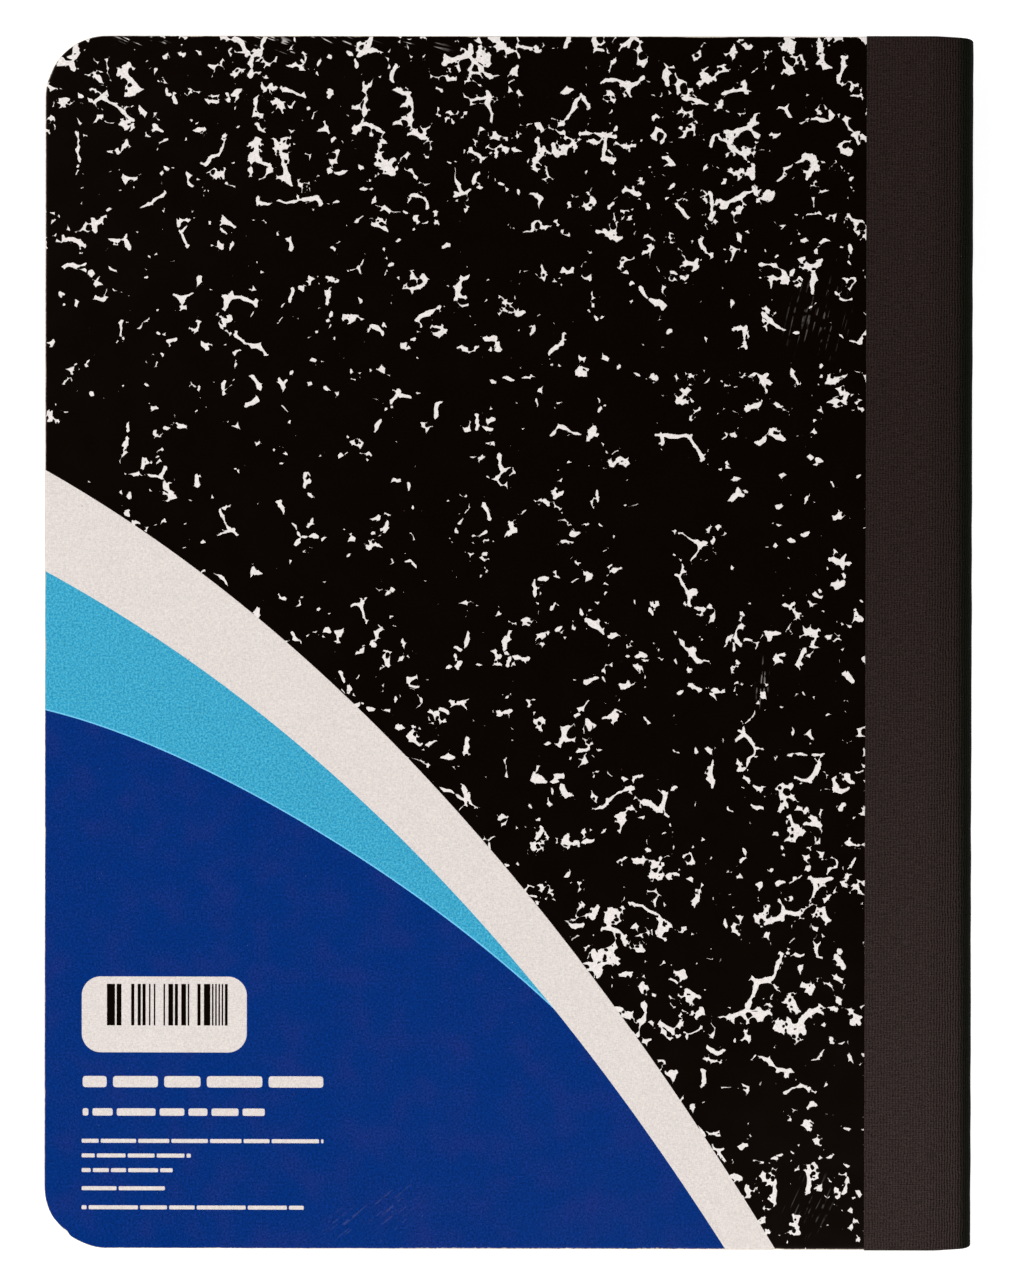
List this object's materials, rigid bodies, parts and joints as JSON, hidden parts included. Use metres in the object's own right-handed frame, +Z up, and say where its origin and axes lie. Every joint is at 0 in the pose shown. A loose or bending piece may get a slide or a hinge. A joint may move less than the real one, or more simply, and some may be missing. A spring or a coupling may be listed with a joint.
{
  "type": "composition notebook",
  "caption": "Closed composition notebook: board covers hinged at a sewn, rounded fold under a black cloth spine tape, with rounded fore-edge corners and a marbled print.",
  "frame": {"origin": "middle of the underside of the closed notebook, lying on its front cover", "axes": "+X from the fore-edge to the spine, +Y from the tail to the head, +Z up through the back cover"},
  "size_m": [0.19, 0.2476, 0.0101],
  "materials": {
    "back_board": "smooth printed board, marbled black and white with curved colour fields",
    "front_board": "smooth printed board, marbled black and white",
    "leaves": "matte writing paper",
    "spine_cloth": "fine ribbed black book cloth",
    "thread": "twisted cotton thread"
  },
  "bodies": {
    "text_block": {"page_block": "leaves", "sewing_thread": "thread", "spine_tape": "spine_cloth"},
    "back_board": {"back_cover": "back_board", "back_tape_wing": "spine_cloth"},
    "front_board": {"front_cover": "front_board", "front_tape_wing": "spine_cloth"}
  },
  "joints": [
    {"name": "back_cover_hinge", "type": "hinge", "parent": "text_block", "child": "back_board", "pos_m": [0.0866, 0, 0.0101], "axis": [0, 1, 0], "range_deg": [0, 180]},
    {"name": "front_cover_hinge", "type": "hinge", "parent": "text_block", "child": "front_board", "pos_m": [0.0866, 0, 0], "axis": [0, -1, 0], "range_deg": [0, 180]}
  ]
}
